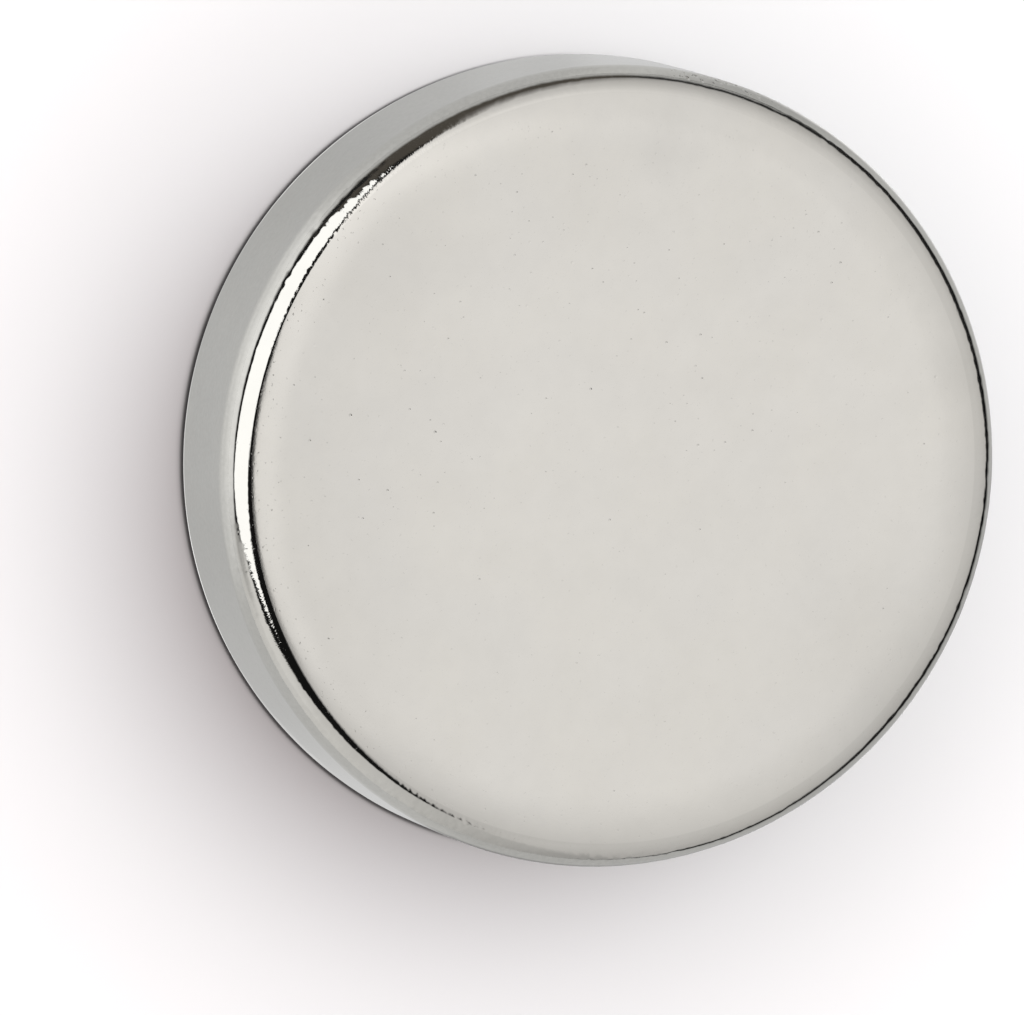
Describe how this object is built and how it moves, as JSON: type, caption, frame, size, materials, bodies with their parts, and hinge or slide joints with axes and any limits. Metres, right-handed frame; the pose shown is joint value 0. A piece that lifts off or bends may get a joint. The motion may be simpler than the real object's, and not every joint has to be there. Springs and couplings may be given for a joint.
{
  "type": "disc magnet",
  "caption": "Flat round disc magnet with rounded rims and a bright nickel plating, magnetised through its thickness.",
  "frame": {"origin": "centre of the lower flat face, the face that the disc lies on", "axes": "+Z along the disc's axis, up through its thickness; X and Y are any two directions across the disc, which is round"},
  "size_m": [0.013, 0.013, 0.003],
  "materials": {
    "nickel_plating": "bright nickel plating over a ground and tumbled surface: mirror-like, with faint mottling on the faces, tiny pits and a fine ripple along the rounded rims"
  },
  "bodies": {
    "root": {"disc_magnet": "nickel_plating"}
  },
  "joints": []
}
